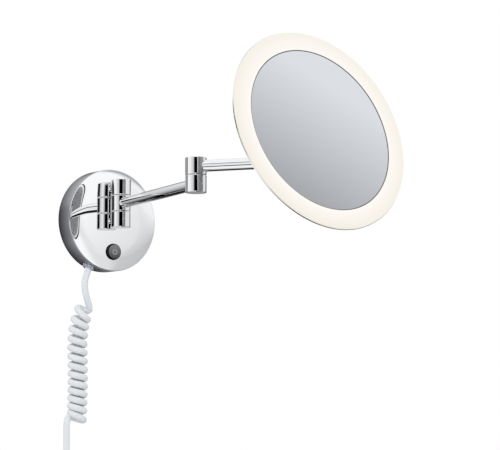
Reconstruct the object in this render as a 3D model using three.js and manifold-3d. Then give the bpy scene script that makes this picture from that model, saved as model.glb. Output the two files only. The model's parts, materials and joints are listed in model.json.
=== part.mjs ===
// Extendable shaving mirror: a lit round mirror on a double swivel arm, carried by a round wall rose.
// Millimetres, +Z up. The wall is the plane Y = 0 and the object stands out from it along -Y.
// The origin is the centre of the rose's back face.
import * as THREE from 'three';
import { mergeVertices } from 'three/addons/utils/BufferGeometryUtils.js';
import Module from 'manifold-3d';

const wasm = await Module();
wasm.setup();

// ---- driving dimensions ----
const GAP = 0.3; // running clearance between separate pieces

const ROSE_RADIUS = 58.5;
const ROSE_DEPTH = 25.2;
const ROSE_WALL = 1.6;
const ROSE_FLAT = 35; // the face is flat out to this radius, then crowned
const ROSE_CROWN_SLOPE = 0.16; // the slope at the face's edge, in radians
const PLATE_RADIUS = 50;
const PLATE_THICKNESS = 4;

const SEGMENT_RADIUS = 11; // the stacked hinge barrels
const SEGMENT_PITCH = 18.5;
const SEGMENT_SEAM = 0.4;
const PIN_RADIUS = 3;
const STUD_RADIUS = 4;
const TUBE_RADIUS = 6;
const TUBE_WALL = 1.5;

const SHOULDER_REACH = 40.4; // wall to the shoulder's swivel axis
const ARM_1_HEIGHT = 17.6; // above the rose's centre
const ARM_1_LENGTH = 190; // axis to axis
const ARM_2_LENGTH = 100;
const ARM_2_HEIGHT = ARM_1_HEIGHT + SEGMENT_PITCH;
const KNUCKLE_HEIGHT = ARM_2_HEIGHT + SEGMENT_PITCH;
const TILT_HEIGHT = 53.4;
const TILT_SETBACK = 20; // head swivel axis to tilt axis
const EAR_RADIUS = 7.6;
const LUG_HALF_WIDTH = 5;

// where the arms stand: headings of each arm from straight out, and the mirror's upward tilt
const ARM_1_HEADING = -9.5;
const ARM_2_HEADING = 33.4;
const HEAD_HEADING = -1.1;
const HEAD_TILT = 16.1;

const HEAD_RADIUS = 105.4; // the light ring's outer edge
const MIRROR_RADIUS = 85.5;
const HEAD_FRONT = 34; // tilt axis to the light ring's front face
const MIRROR_THICKNESS = 4;
const LED_COUNT = 24;

const BUTTON_RADIUS = 9.1;
const BUTTON_HEIGHT = -36.4;
const BUTTON_PROUD = 3.2;

const CORD_RADIUS = 3.7;
const COIL_RADIUS = 11.4;
const CORD_DEPTH = 13.5; // the cord hangs this far in front of the wall
const GLAND_ANGLE = 25.5; // round the rose's side from straight down, towards -X

const ROUND = 60; // facets on the large turned pieces
const BARREL_ROUND = 30;
const SMALL_ROUND = 16;

// ---- materials ----
function finish(color, roughness, metalness, extra = {}) {
  return new THREE.MeshStandardMaterial({ color, roughness, metalness, ...extra });
}

const chrome = finish(0xd8dadd, 0.06, 1);
const steel = finish(0xb4b6b8, 0.35, 1);
const zinc = finish(0x9a9c9e, 0.5, 0.9);
const aluminium = finish(0xb7b9bb, 0.32, 0.9);
const whitePlastic = finish(0xe9e9e6, 0.5, 0);
const greyPlastic = finish(0x6e7073, 0.55, 0);
const rubber = finish(0x4a4b4e, 0.7, 0);
const clearPlastic = finish(0xb9c3cc, 0.25, 0, { transparent: true, opacity: 0.7 });
const nylon = finish(0xdad7cc, 0.6, 0);
const board = finish(0xe8ece6, 0.5, 0);
const glass = finish(0xc9ccd0, 0.02, 1);
const acrylic = finish(0xfbf6e8, 0.4, 0);
const cordSheath = finish(0xe9eaec, 0.5, 0);

// ---- from three.js geometry to closed solids and back ----
function solid(geometry) {
  geometry.deleteAttribute('normal');
  geometry.deleteAttribute('uv');
  const merged = mergeVertices(geometry, 1e-4);
  const at = merged.attributes.position;
  const corner = [new THREE.Vector3(), new THREE.Vector3(), new THREE.Vector3()];
  const triangles = [];
  let volume = 0;
  for (let i = 0; i < merged.index.count; i += 3) {
    const t = [0, 1, 2].map((k) => merged.index.getX(i + k));
    if (t[0] === t[1] || t[1] === t[2] || t[2] === t[0]) continue;
    corner.forEach((c, k) => c.fromBufferAttribute(at, t[k]));
    volume += corner[0].dot(corner[1].clone().cross(corner[2]));
    triangles.push(t);
  }
  if (volume < 0) triangles.forEach((t) => t.reverse());
  const mesh = new wasm.Mesh({
    numProp: 3,
    vertProperties: new Float32Array(at.array),
    triVerts: new Uint32Array(triangles.flat()),
  });
  return new wasm.Manifold(mesh);
}

function geometryOf(body) {
  const mesh = body.getMesh();
  const geometry = new THREE.BufferGeometry();
  geometry.setAttribute('position', new THREE.BufferAttribute(new Float32Array(mesh.vertProperties), 3));
  geometry.setIndex(new THREE.BufferAttribute(new Uint32Array(mesh.triVerts), 1));
  geometry.computeVertexNormals();
  return geometry;
}

function piece(name, body, material, parent, at = [0, 0, 0]) {
  const mesh = new THREE.Mesh(geometryOf(body), material);
  mesh.name = name;
  mesh.position.set(...at);
  parent.add(mesh);
  return mesh;
}

// ---- basic bodies ----
// A profile is a list of [radius, height]; `out` turns its height from +Y to the wall's outward -Y.
function turned(profile, facets, turn) {
  const points = profile.map(([r, h]) => new THREE.Vector2(r, h));
  const geometry = new THREE.LatheGeometry(points, facets);
  if (turn === 'up') geometry.rotateX(Math.PI / 2);
  if (turn === 'out') geometry.rotateX(Math.PI);
  if (turn === 'across') geometry.rotateZ(-Math.PI / 2);
  return solid(geometry);
}

function rod(radius, from, to, facets, turn) {
  return turned([[0, from], [radius, from], [radius, to], [0, to]], facets, turn);
}

function ring(inner, outer, from, to, facets, turn) {
  const profile = [[inner, from], [outer, from], [outer, to], [inner, to], [inner, from]];
  return turned(profile, facets, turn);
}

function arc(cx, cy, radius, fromDegrees, toDegrees, steps) {
  const points = [];
  for (let i = 0; i <= steps; i += 1) {
    const a = THREE.MathUtils.degToRad(fromDegrees + ((toDegrees - fromDegrees) * i) / steps);
    points.push([cx + radius * Math.cos(a), cy + radius * Math.sin(a)]);
  }
  return points;
}

function block(width, depth, height, at) {
  return solid(new THREE.BoxGeometry(width, depth, height)).translate(at);
}

// A box with rounded corners in X-Z, standing out from the wall between two depths.
function softBlock(width, height, corner, from, to, x, z) {
  const shape = new THREE.Shape();
  const w = width / 2;
  const h = height / 2;
  const centres = [[w - corner, h - corner, 0], [corner - w, h - corner, 90],
    [corner - w, corner - h, 180], [w - corner, corner - h, 270]];
  for (const [cx, cy, start] of centres) {
    for (const [px, py] of arc(cx, cy, corner, start, start + 90, 3)) {
      if (shape.curves.length || shape.currentPoint.lengthSq()) shape.lineTo(px, py);
      else shape.moveTo(px, py);
    }
  }
  shape.closePath();
  const geometry = new THREE.ExtrudeGeometry(shape, { depth: to - from, bevelEnabled: false });
  geometry.rotateX(Math.PI / 2);
  return solid(geometry).translate([x, -from, z]);
}

function tube(points, radius, sides, steps) {
  const curve = new THREE.CatmullRomCurve3(points.map((p) => new THREE.Vector3(...p)));
  const circle = new THREE.Shape();
  circle.moveTo(radius, 0);
  for (let i = 1; i < sides; i += 1) {
    const a = (2 * Math.PI * i) / sides;
    circle.lineTo(radius * Math.cos(a), radius * Math.sin(a));
  }
  circle.closePath();
  const options = { steps, extrudePath: curve, bevelEnabled: false };
  return solid(new THREE.ExtrudeGeometry(circle, options));
}

// ---- the wall rose ----
const segmentHalf = (SEGMENT_PITCH - SEGMENT_SEAM) / 2;
const studHeights = [ARM_1_HEIGHT + SEGMENT_PITCH, ARM_1_HEIGHT - SEGMENT_PITCH];
const roseInner = ROSE_RADIUS - ROSE_WALL;
const GRUB_ANGLE = -40; // round the rose's side from straight down, towards +X
const GRUB_DEPTH = 11;

// Turns a body made hanging straight down (-Z) from the rose's centre round the rose by an angle.
function aroundRose(body, degrees) {
  return body.rotate([0, degrees, 0]);
}

function wallPlate() {
  let plate = rod(PLATE_RADIUS, 0, PLATE_THICKNESS, 60, 'out');
  for (const angle of [90, 210, 330]) {
    const a = THREE.MathUtils.degToRad(angle);
    const slot = softBlock(6, 14, 2.9, -1, PLATE_THICKNESS + 1, 0, 0);
    plate = plate.subtract(slot.translate([40 * Math.cos(a), 0, 40 * Math.sin(a)]));
  }
  plate = plate.subtract(softBlock(12, 9, 3, -1, PLATE_THICKNESS + 1, -21, -22));
  const lug = block(10, 13, 10, [0, -(PLATE_THICKNESS + 6), -(PLATE_RADIUS - 2)]);
  const lugHole = rod(2.3, -56, -36, SMALL_ROUND, 'up').translate([0, -GRUB_DEPTH, 0]);
  plate = plate.add(aroundRose(lug, GRUB_ANGLE)).subtract(aroundRose(lugHole, GRUB_ANGLE));
  for (const x of [-9, 9]) {
    plate = plate.add(rod(2, PLATE_THICKNESS - 1, 7.7, 12, 'out').translate([x, 0, -44]));
  }
  return plate;
}

function crownDrop(radius) {
  const past = Math.max(0, radius - ROSE_FLAT);
  return (ROSE_CROWN_SLOPE * past ** 2.5) / (2.5 * (ROSE_RADIUS - ROSE_FLAT) ** 1.5);
}

function roseCover() {
  const f = 1.2;
  const lip = 0.5; // shadow gap between the cover and the wall
  const edge = ROSE_RADIUS - f;
  const onCrown = (radius) => [radius, ROSE_DEPTH - crownDrop(radius)];
  const corner = ROSE_DEPTH - crownDrop(edge) - f;
  const fillet = arc(edge, corner, f, 80, 0, 3);
  const floor = ROSE_DEPTH - ROSE_WALL;
  let cover = turned([[0, ROSE_DEPTH], ...[ROSE_FLAT, 43, 48, 53, edge].map(onCrown), ...fillet,
    [ROSE_RADIUS, lip], [roseInner, lip], [roseInner, floor - crownDrop(edge)], [ROSE_FLAT, floor],
    [0, floor]], ROUND, 'out');
  for (const z of studHeights) {
    cover = cover.subtract(rod(STUD_RADIUS + 0.4, 20, 30, SMALL_ROUND, 'out').translate([0, 0, z]));
  }
  const buttonHole = rod(BUTTON_RADIUS + 0.4, 20, 30, 32, 'out');
  cover = cover.subtract(buttonHole.translate([0, 0, BUTTON_HEIGHT]));
  const glandHole = rod(5.4, -62, -50, SMALL_ROUND, 'up').translate([0, -CORD_DEPTH, 0]);
  const grubHole = rod(2.6, -62, -50, SMALL_ROUND, 'up').translate([0, -GRUB_DEPTH, 0]);
  return cover.subtract(aroundRose(glandHole, GLAND_ANGLE)).subtract(aroundRose(grubHole, GRUB_ANGLE));
}

function grubScrew() {
  const body = rod(2, -57, -44, 12, 'up').subtract(rod(1.1, -58, -54.5, 6, 'up'));
  return aroundRose(body.translate([0, -GRUB_DEPTH, 0]), GRUB_ANGLE);
}

// The cast block inside the rose that holds the two shoulder studs.
function supportBlock() {
  const from = PLATE_THICKNESS + GAP;
  let body = softBlock(24, 58, 3, from, 21, 0, ARM_1_HEIGHT);
  for (const z of studHeights) {
    body = body.subtract(rod(STUD_RADIUS + GAP, 8, 22, SMALL_ROUND, 'out').translate([0, 0, z]));
  }
  return body.subtract(softBlock(30, 12, 2, 8, 17, 0, ARM_1_HEIGHT));
}

function shoulderStud() {
  const tip = SHOULDER_REACH - SEGMENT_RADIUS + 4;
  return turned([[0, 8.4], [STUD_RADIUS - 0.5, 8.4], [STUD_RADIUS, 8.9], [STUD_RADIUS, tip - 0.5],
    [STUD_RADIUS - 0.5, tip], [0, tip]], SMALL_ROUND, 'out');
}

// ---- hinge barrels ----
function barrel() {
  const r = SEGMENT_RADIUS;
  const h = segmentHalf;
  const c = 0.7;
  return turned([[0, -h], ...arc(r - c, c - h, c, -90, 0, 2), ...arc(r - c, h - c, c, 0, 90, 2), [0, h]],
    BARREL_ROUND, 'up');
}

// A blind bore for the hinge pin from one end, with a shallow seat for the friction washer.
function boredFrom(body, end, washerSeat) {
  const h = segmentHalf;
  const bore = PIN_RADIUS + GAP;
  const pinHole = end === 'top' ? rod(bore, -h + 3, h + 1, SMALL_ROUND, 'up')
    : rod(bore, -h - 1, h - 3, SMALL_ROUND, 'up');
  let cut = body.subtract(pinHole);
  if (washerSeat) cut = cut.subtract(rod(7.4, h - 0.8, h + 1, 24, 'up'));
  return cut;
}

function boredThrough(body) {
  const h = segmentHalf;
  return body.subtract(rod(PIN_RADIUS + GAP, -h - 1, h + 1, SMALL_ROUND, 'up'))
    .subtract(rod(7.4, h - 0.8, h + 1, 24, 'up'));
}

// The blind side hole that an arm tube or a stud is fixed in, on the barrel's -Y or +Y side.
function sideHole(body, radius, towards) {
  const from = SEGMENT_RADIUS - 5.4;
  const hole = rod(radius + GAP, from, SEGMENT_RADIUS + 2, SMALL_ROUND, 'out');
  return body.subtract(towards === 'front' ? hole : hole.rotate([0, 0, 180]));
}

function hingePin(length) {
  return ring(1.7, PIN_RADIUS, -length / 2, length / 2, SMALL_ROUND, 'up');
}

function frictionWasher() {
  return ring(PIN_RADIUS + 0.4, 7, -0.3, 0.3, 24, 'up');
}

// The washer lies in the seat of the segment below the seam at this height.
function seamWasherHeight(seam) {
  return seam - SEGMENT_SEAM / 2 - 0.2;
}

// ---- arms ----
const tubeStart = SEGMENT_RADIUS - 5.1;

function armTube(length) {
  return ring(TUBE_RADIUS - TUBE_WALL, TUBE_RADIUS, tubeStart, length - tubeStart, 28, 'out');
}

function armLead(length) {
  return rod(1.6, tubeStart + 1, length - tubeStart - 1, 10, 'out');
}

// ---- head knuckle: a barrel with two ears that reach forward round the tilt lug ----
function knuckle() {
  const drop = TILT_HEIGHT - KNUCKLE_HEIGHT;
  let body = barrel();
  for (const side of [-1, 1]) {
    const inner = LUG_HALF_WIDTH + 0.4;
    const outer = SEGMENT_RADIUS - 0.6;
    const shape = new THREE.Shape();
    const end = arc(-TILT_SETBACK, drop, EAR_RADIUS, 90, 270, 8);
    shape.moveTo(-4, drop + EAR_RADIUS);
    end.forEach(([y, z]) => shape.lineTo(y, z));
    shape.lineTo(-4, drop - EAR_RADIUS);
    shape.closePath();
    const plate = new THREE.ExtrudeGeometry(shape, { depth: outer - inner, bevelEnabled: false });
    // shape x runs along the body's Y and shape y along its Z
    plate.rotateX(Math.PI / 2);
    plate.rotateZ(Math.PI / 2);
    plate.translate(side > 0 ? inner : -outer, 0, 0);
    body = body.add(solid(plate));
  }
  const pinHole = rod(PIN_RADIUS + GAP, -14, 14, SMALL_ROUND, 'across');
  return body.subtract(pinHole.translate([0, -TILT_SETBACK, drop]));
}

function tiltPin() {
  const face = SEGMENT_RADIUS - 0.6 + 1.6;
  return turned([[0, -face], [PIN_RADIUS, -face], [PIN_RADIUS, face], [5.4, face], [5.4, face + 1.2],
    ...arc(0, face + 1.2, 5.4, 30, 90, 3).map(([r, h]) => [r, 0.45 * (h - face - 1.2) + face + 1.2])],
    SMALL_ROUND, 'across');
}

function tiltNut() {
  const face = SEGMENT_RADIUS - 0.6 + 1.6;
  const body = turned([[0, -face - 3.4], [4.4, -face - 3.4], [5.4, -face - 2.4], [5.4, -face + 0.0],
    [0, -face + 0.0]], 6, 'across');
  return body.subtract(rod(PIN_RADIUS + GAP, -face - 1, -face + 2, SMALL_ROUND, 'across'));
}

function tiltWasher() {
  return ring(PIN_RADIUS + 0.4, 6.4, -0.5, 0.5, 24, 'across');
}

// ---- mirror head; heights run forward from the tilt axis ----
const SCREW_SPREAD = 13;
const screwSpots = [[-1, 1, 'upper_left'], [1, 1, 'upper_right'], [-1, -1, 'lower_left'],
  [1, -1, 'lower_right']];
const PLATE_BACK = 12;
const HOUSING_BACK = 16;

function tiltBracket() {
  const from = PLATE_BACK;
  let body = turned([[0, from], [23.4, from], [24, from + 0.6], [24, HOUSING_BACK - 0.4],
    [0, HOUSING_BACK - 0.4]], 48, 'out');
  const shape = new THREE.Shape();
  shape.moveTo(-from - 1, 8);
  arc(0, 0, 8, 90, -90, 8).forEach(([y, z]) => shape.lineTo(y, z));
  shape.lineTo(-from - 1, -8);
  shape.closePath();
  const lug = new THREE.ExtrudeGeometry(shape, { depth: 2 * LUG_HALF_WIDTH, bevelEnabled: false });
  lug.rotateX(Math.PI / 2);
  lug.rotateZ(Math.PI / 2);
  lug.translate(-LUG_HALF_WIDTH, 0, 0);
  body = body.add(solid(lug)).subtract(rod(PIN_RADIUS + GAP, -9, 9, SMALL_ROUND, 'across'));
  for (const [sx, sz] of screwSpots) {
    const hole = rod(2.3, 10, 18, 12, 'out');
    body = body.subtract(hole.translate([sx * SCREW_SPREAD, 0, sz * SCREW_SPREAD]));
  }
  return body;
}

function bracketScrew() {
  const head = PLATE_BACK - GAP;
  return turned([[0, head - 2.2], [2.6, head - 2.2], [3.6, head - 1.4], [3.6, head], [2, head], [2, 23],
    [0, 23]], 14, 'out');
}

function rearHousing() {
  const wall = 1.6;
  const back = HOUSING_BACK;
  const front = 24.7;
  let body = turned([[0, back], [74, back], ...arc(74, back + 5, 5, -60, -20, 2), [91.4, front],
    [89.4, front], [78, back + wall + 2], [74, back + wall], [0, back + wall]], ROUND, 'out');
  for (const [sx, sz] of screwSpots) {
    const boss = rod(4.4, back + 0.5, 24, 16, 'out').subtract(rod(2.3, back - 1, 23.6, 12, 'out'));
    const hole = rod(2.3, back - 1, 23.6, 12, 'out');
    const to = [sx * SCREW_SPREAD, 0, sz * SCREW_SPREAD];
    body = body.add(boss.translate(to)).subtract(hole.translate(to));
  }
  const wireHole = rod(3, back - 2, back + 4, 14, 'out').translate([0, 0, -30]);
  return body.subtract(wireHole);
}

function lightRing() {
  const f = HEAD_FRONT;
  const seat = f - 1 - MIRROR_THICKNESS - 0.4;
  const inner = MIRROR_RADIUS + 0.4;
  const outer = HEAD_RADIUS - 0.6;
  const edge = arc(outer - 0.6, f - 0.6, 0.6, 90, 0, 2);
  return turned([[inner, seat], [inner, f], ...edge, [outer, f - 1.2], [100, f - 2.2], [93, f - 8.4],
    [92, f - 9], [84, f - 9], [84, seat], [inner, seat]], ROUND, 'out');
}

// The metal rim behind the light ring, which also throws the light forward.
function reflectorRing() {
  const f = HEAD_FRONT;
  return turned([[HEAD_RADIUS - 0.8, f - 1.6], [100.2, f - 2.6], [94, f - 8.1], [94.6, f - 9.1],
    [100.6, f - 3.9], [HEAD_RADIUS - 0.3, f - 3.2], [HEAD_RADIUS, f - 2.9], [HEAD_RADIUS, f - 1.6],
    [HEAD_RADIUS - 0.8, f - 1.6]], ROUND, 'out');
}

function mirrorGlass() {
  const front = HEAD_FRONT - 1;
  const r = MIRROR_RADIUS;
  return turned([[0, front - MIRROR_THICKNESS], [r - 0.4, front - MIRROR_THICKNESS],
    [r, front - MIRROR_THICKNESS + 0.4], [r, front - 0.6], [r - 0.6, front], [0, front]], ROUND, 'out');
}

const CARRIER_FRONT = HEAD_FRONT - 1 - MIRROR_THICKNESS - 0.7;

function mirrorCarrier() {
  const f = CARRIER_FRONT;
  let body = turned([[0, f], [82.2, f], [82.2, f - 3.8], [81.1, f - 3.8], [81.1, f - 1.2], [0, f - 1.2]],
    ROUND, 'out');
  for (const [sx, sz] of screwSpots) {
    const post = rod(3, HOUSING_BACK + 2, f - 0.5, 12, 'out');
    body = body.add(post.translate([sx * 42, 0, sz * 42]));
  }
  return body;
}

function ledStrip() {
  let body = ring(82.5, 83, CARRIER_FRONT - 3.6, CARRIER_FRONT - 0.1, ROUND, 'out');
  for (let i = 0; i < LED_COUNT; i += 1) {
    const chip = block(2.8, 2, 0.8, [0, -(CARRIER_FRONT - 1.9), 83.2]);
    body = body.add(chip.rotate([0, (360 * (i + 0.5)) / LED_COUNT, 0]));
  }
  return body;
}

// ---- button and electrics ----
function pushButton() {
  const face = ROSE_DEPTH + BUTTON_PROUD;
  const r = BUTTON_RADIUS;
  return turned([[0, 15.4], [2, 15.4], [2, 18.6], [r + 1.6, 18.6], [r + 1.6, 20.4], [r, 20.4],
    ...arc(r - 1.4, face - 1.4, 1.4, 0, 70, 3), [r * 0.45, face + 0.15], [0, face + 0.2]], 32, 'out');
}

function gland() {
  const r = ROSE_RADIUS;
  const bore = CORD_RADIUS + 0.6;
  const body = turned([[bore, -48], [7.4, -48], [7.4, -(roseInner - 1.6)], [5, -(roseInner - 1.6)],
    [5, -(r + 0.35)], [7, -(r + 0.35)], [7, -(r + 2.6)], [6, -(r + 3.8)], [bore, -(r + 3.8)],
    [bore, -48]], SMALL_ROUND, 'up');
  return aroundRose(body.translate([0, -CORD_DEPTH, 0]), GLAND_ANGLE);
}

// ---- the curly mains cord: X and Z of its route, which hangs flat in front of the wall ----
const glandDirection = THREE.MathUtils.degToRad(GLAND_ANGLE);
const fromRose = (r) => [-r * Math.sin(glandDirection), -r * Math.cos(glandDirection)];
const leadInRoute = [fromRose(44), fromRose(49), fromRose(54), fromRose(60), [-27.4, -61], [-29.6, -67],
  [-30.5, -74], [-29.9, -81], [-28.2, -87.5], [-26.3, -93.2], [-25.7, -96], [-25.6, -98.2]];
const coilRoute = [[-31.6, -98.7], [-31.9, -102], [-33.6, -109], [-36.2, -117], [-38, -126], [-39.1, -138],
  [-39, -152], [-38.4, -168], [-38.1, -184], [-38.3, -200], [-38.5, -214], [-38.6, -226], [-38.6, -229]];
const tailRoute = [[-46.2, -229.6], [-46.5, -232], [-48.4, -236.5], [-50.2, -242], [-51.3, -249],
  [-51.5, -264], [-51.3, -280], [-51.2, -300], [-51.2, -322], [-51.2, -345], [-51.2, -368]];
const PLUG_TOP = -360;
const PLUG_X = -51.2;

const hung = (route) => route.map(([x, z]) => [x, -CORD_DEPTH, z]);

function plugSleeve() {
  const bore = CORD_RADIUS + 0.35;
  return turned([[bore, -27], [6.6, -27], [6.2, -20], [5.2, -6], [4.9, 0], [bore, 0], [bore, -27]],
    SMALL_ROUND, 'up');
}

function plugBody() {
  const shape = new THREE.Shape();
  const outline = [[-7.6, 0], [-9.4, -3], [-17.6, -22], [-17.6, -33], [-13.6, -36.4], [13.6, -36.4],
    [17.6, -33], [17.6, -22], [9.4, -3], [7.6, 0]];
  shape.moveTo(...outline[0]);
  outline.slice(1).forEach(([x, z]) => shape.lineTo(x, z));
  shape.closePath();
  const options = { depth: 10.7, bevelEnabled: true, bevelThickness: 1.5, bevelSize: 1.4, bevelOffset: -1.4,
    bevelSegments: 2 };
  const geometry = new THREE.ExtrudeGeometry(shape, options);
  geometry.rotateX(Math.PI / 2);
  let body = solid(geometry).translate([0, 5.35, 0]);
  for (const x of [-9.3, 9.3]) {
    body = body.subtract(rod(2 + GAP, -40, -26, 16, 'up').translate([x, 0, 0]));
  }
  return body;
}

function plugPin() {
  return turned([[0, -55.4], [1.2, -55.4], [2, -54.4], [2, -26.6], [0, -26.6]], 16, 'up');
}

// ---- assembly ----
const mirror = new THREE.Group();

function addRose(parent) {
  piece('wall_plate', wallPlate(), zinc, parent);
  piece('rose_cover', roseCover(), chrome, parent);
  piece('cover_grub_screw', grubScrew(), steel, parent);
  piece('support_block', supportBlock(), zinc, parent);
  piece('shoulder_stud_upper', shoulderStud(), chrome, parent, [0, 0, studHeights[0]]);
  piece('shoulder_stud_lower', shoulderStud(), chrome, parent, [0, 0, studHeights[1]]);
  const axis = -SHOULDER_REACH;
  const top = sideHole(boredFrom(barrel(), 'bottom', false), STUD_RADIUS, 'back');
  const bottom = sideHole(boredFrom(barrel(), 'top', true), STUD_RADIUS, 'back');
  piece('shoulder_barrel_top', top, chrome, parent, [0, axis, studHeights[0]]);
  piece('shoulder_barrel_bottom', bottom, chrome, parent, [0, axis, studHeights[1]]);
  piece('shoulder_pin', hingePin(3 * SEGMENT_PITCH - 7.6), steel, parent, [0, axis, ARM_1_HEIGHT]);
  const seams = [['upper', ARM_1_HEIGHT + SEGMENT_PITCH / 2], ['lower', ARM_1_HEIGHT - SEGMENT_PITCH / 2]];
  for (const [place, seam] of seams) {
    piece(`shoulder_washer_${place}`, frictionWasher(), nylon, parent, [0, axis, seamWasherHeight(seam)]);
  }
}

function addElectrics(parent) {
  const from = PLATE_THICKNESS + GAP;
  piece('led_driver', softBlock(27, 42, 3, from, 21, 31, -2), whitePlastic, parent);
  const terminals = softBlock(18, 26, 1.5, from, 17, -34, -2)
    .subtract(softBlock(3.4, 3.4, 0.8, 10, 20, -34, -9))
    .subtract(softBlock(3.4, 3.4, 0.8, 10, 20, -34, 5));
  piece('terminal_block', terminals, whitePlastic, parent);
  piece('switch_board', softBlock(26, 18, 1.5, 8, 9.6, 0, BUTTON_HEIGHT - 1), board, parent);
  piece('micro_switch', softBlock(7, 7, 0.8, 9.9, 14.1, 0, BUTTON_HEIGHT), greyPlastic, parent);
  const guide = ring(BUTTON_RADIUS + 2, BUTTON_RADIUS + 3.8, 16.5, 22.2, 32, 'out');
  piece('button_guide', guide, greyPlastic, parent, [0, 0, BUTTON_HEIGHT]);
  piece('push_button', pushButton(), rubber, parent, [0, 0, BUTTON_HEIGHT]);
  piece('cord_gland', gland(), clearPlastic, parent);
}

function addCord(parent) {
  piece('cord_lead_in', tube(hung(leadInRoute), CORD_RADIUS, 10, 16), cordSheath, parent);
  piece('cord_coil', tube(hung(coilRoute), COIL_RADIUS, 12, 12), cordSheath, parent);
  piece('cord_tail', tube(hung(tailRoute), CORD_RADIUS, 10, 16), cordSheath, parent);
  piece('plug_sleeve', plugSleeve(), cordSheath, parent, [PLUG_X, -CORD_DEPTH, PLUG_TOP + 20]);
  piece('plug_body', plugBody(), cordSheath, parent, [PLUG_X, -CORD_DEPTH, PLUG_TOP - 8.4]);
  piece('plug_pin_left', plugPin(), steel, parent, [PLUG_X - 9.3, -CORD_DEPTH, PLUG_TOP - 8.4]);
  piece('plug_pin_right', plugPin(), steel, parent, [PLUG_X + 9.3, -CORD_DEPTH, PLUG_TOP - 8.4]);
}

function addHead(parent) {
  piece('tilt_bracket', tiltBracket(), chrome, parent);
  for (const [sx, sz, place] of screwSpots) {
    const at = [sx * SCREW_SPREAD, 0, sz * SCREW_SPREAD];
    piece(`bracket_screw_${place}`, bracketScrew(), steel, parent, at);
  }
  piece('rear_housing', rearHousing(), aluminium, parent);
  piece('reflector_ring', reflectorRing(), steel, parent);
  piece('light_ring', lightRing(), acrylic, parent);
  piece('led_strip', ledStrip(), board, parent);
  piece('mirror_carrier', mirrorCarrier(), whitePlastic, parent);
  piece('mirror_glass', mirrorGlass(), glass, parent);
}

function addYoke(parent) {
  const lift = [0, 0, KNUCKLE_HEIGHT];
  piece('head_knuckle', boredFrom(knuckle(), 'bottom', false), chrome, parent, lift);
  const axis = [0, -TILT_SETBACK, TILT_HEIGHT];
  piece('tilt_pin', tiltPin(), steel, parent, axis);
  piece('tilt_nut', tiltNut(), steel, parent, axis);
  for (const [side, x] of [['left', -1], ['right', 1]]) {
    const offset = x * (SEGMENT_RADIUS - 0.6 + 0.8);
    piece(`tilt_washer_${side}`, tiltWasher(), nylon, parent, [offset, -TILT_SETBACK, TILT_HEIGHT]);
  }
}

function addArm2(parent) {
  const z = ARM_2_HEIGHT;
  piece('elbow_barrel_upper', sideHole(boredFrom(barrel(), 'bottom', false), TUBE_RADIUS, 'front'), chrome,
    parent, [0, 0, z]);
  piece('arm_2_tube', armTube(ARM_2_LENGTH), chrome, parent, [0, 0, z]);
  piece('arm_2_lead', armLead(ARM_2_LENGTH), whitePlastic, parent, [0, 0, z]);
  piece('head_barrel_lower', sideHole(boredFrom(barrel(), 'top', true), TUBE_RADIUS, 'back'), chrome,
    parent, [0, -ARM_2_LENGTH, z]);
  const seam = z + SEGMENT_PITCH / 2;
  piece('head_pin', hingePin(2 * SEGMENT_PITCH - 7), steel, parent, [0, -ARM_2_LENGTH, seam]);
  piece('head_washer', frictionWasher(), nylon, parent, [0, -ARM_2_LENGTH, seamWasherHeight(seam)]);
}

function addArm1(parent) {
  const z = ARM_1_HEIGHT;
  piece('shoulder_barrel_middle', sideHole(boredThrough(barrel()), TUBE_RADIUS, 'front'), chrome, parent,
    [0, 0, z]);
  piece('arm_1_tube', armTube(ARM_1_LENGTH), chrome, parent, [0, 0, z]);
  piece('arm_1_lead', armLead(ARM_1_LENGTH), whitePlastic, parent, [0, 0, z]);
  const elbowLower = sideHole(boredFrom(barrel(), 'top', true), TUBE_RADIUS, 'back');
  piece('elbow_barrel_lower', elbowLower, chrome, parent, [0, -ARM_1_LENGTH, z]);
  const seam = z + SEGMENT_PITCH / 2;
  piece('elbow_pin', hingePin(2 * SEGMENT_PITCH - 7), steel, parent, [0, -ARM_1_LENGTH, seam]);
  piece('elbow_washer', frictionWasher(), nylon, parent, [0, -ARM_1_LENGTH, seamWasherHeight(seam)]);
}

// A group that swivels about +Z: its own -Y points along the heading.
function swivel(parent, y, turn) {
  const group = new THREE.Group();
  group.position.set(0, y, 0);
  group.rotation.z = THREE.MathUtils.degToRad(turn);
  parent.add(group);
  return group;
}

addRose(mirror);
addElectrics(mirror);
addCord(mirror);

const arm1 = swivel(mirror, -SHOULDER_REACH, ARM_1_HEADING);
addArm1(arm1);
const arm2 = swivel(arm1, -ARM_1_LENGTH, ARM_2_HEADING - ARM_1_HEADING);
addArm2(arm2);
const yoke = swivel(arm2, -ARM_2_LENGTH, HEAD_HEADING - ARM_2_HEADING);
addYoke(yoke);

const head = new THREE.Group();
head.position.set(0, -TILT_SETBACK, TILT_HEIGHT);
head.rotation.x = -THREE.MathUtils.degToRad(HEAD_TILT);
yoke.add(head);
addHead(head);

mirror.updateMatrixWorld(true);

export default mirror;
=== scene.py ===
"""Extendable shaving mirror: the looks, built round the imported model.

Metres, +Z up, with the wall on the plane Y = 0. The profiles of turned pieces are in mm.
"""

import json
from math import atan2, cos, degrees, exp, hypot, pi, radians, sin

import bmesh
import bpy
from mathutils import Matrix, Vector


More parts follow.
